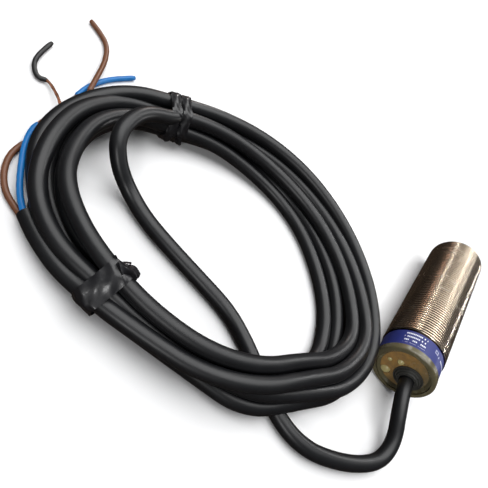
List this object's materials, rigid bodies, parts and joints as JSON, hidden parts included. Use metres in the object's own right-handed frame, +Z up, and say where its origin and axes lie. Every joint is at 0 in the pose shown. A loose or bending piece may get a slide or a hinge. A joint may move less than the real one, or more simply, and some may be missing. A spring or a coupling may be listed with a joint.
{
  "type": "inductive proximity sensor",
  "caption": "Threaded cylindrical inductive proximity sensor with a plastic sensing face, lit rear cap and a coiled three-wire cable held by two wire ties",
  "frame": {"origin": "on the surface the sensor lies on, under the middle of its body, which lies on its side", "axes": "+Y is the barrel's axis and points out of the sensing face, +Z is up, +X is to the right seen from the cable end"},
  "size_m": [0.1439, 0.1177, 0.018],
  "materials": {
    "thread_metal": "nickel-plated brass, machined thread",
    "label_ink": "printed blue film",
    "face_plastic": "moulded, matt",
    "shield_metal": "thin rolled strip",
    "ferrite": "sintered",
    "bobbin_plastic": "moulded",
    "copper": "bare copper",
    "carrier_plastic": "moulded",
    "board_laminate": "solder mask",
    "tinned_metal": "tinned",
    "chip_plastic": "moulded",
    "chip_ceramic": "fired",
    "led_plastic": "clear encapsulant",
    "resin": "cast",
    "cap_amber": "translucent, moulded",
    "lens_clear": "translucent, moulded",
    "seal_rubber": "smooth",
    "boot_rubber": "moulded rings",
    "clamp_metal": "stamped",
    "cable_jacket": "extruded, semi-gloss",
    "tie_film": "twisted film wrap",
    "wire_blue": "extruded",
    "wire_brown": "extruded",
    "wire_black": "extruded"
  },
  "bodies": {
    "root": {"black_slug": "wire_black", "black_strands": "copper", "black_wire": "wire_black", "blue_slug": "wire_blue", "blue_strands": "copper", "blue_wire": "wire_blue", "brown_slug": "wire_brown", "brown_strands": "copper", "brown_wire": "wire_brown", "cable_boot": "boot_rubber", "cable_clamp": "clamp_metal", "cable_coil": "cable_jacket", "cable_end": "cable_jacket", "cap_seal": "seal_rubber", "chip_capacitors": "chip_ceramic", "chip_resistors": "chip_ceramic", "circuit_board": "board_laminate", "coil_bobbin": "bobbin_plastic", "coil_pins": "tinned_metal", "coil_winding": "copper", "core_carrier": "carrier_plastic", "ferrite_core": "ferrite", "gate_stub": "lens_clear", "inner_black": "wire_black", "inner_blue": "wire_blue", "inner_brown": "wire_brown", "label_band": "label_ink", "lower_tie": "tie_film", "oscillator_chip": "chip_plastic", "output_led": "led_plastic", "output_lens": "lens_clear", "output_transistor": "chip_plastic", "potting_resin": "resin", "power_led": "led_plastic", "power_lens": "lens_clear", "rear_cap": "cap_amber", "sensing_face": "face_plastic", "sensor_lead": "cable_jacket", "shield_ring": "shield_metal", "surge_diode": "chip_plastic", "threaded_barrel": "thread_metal", "upper_tie": "tie_film"}
  },
  "joints": []
}
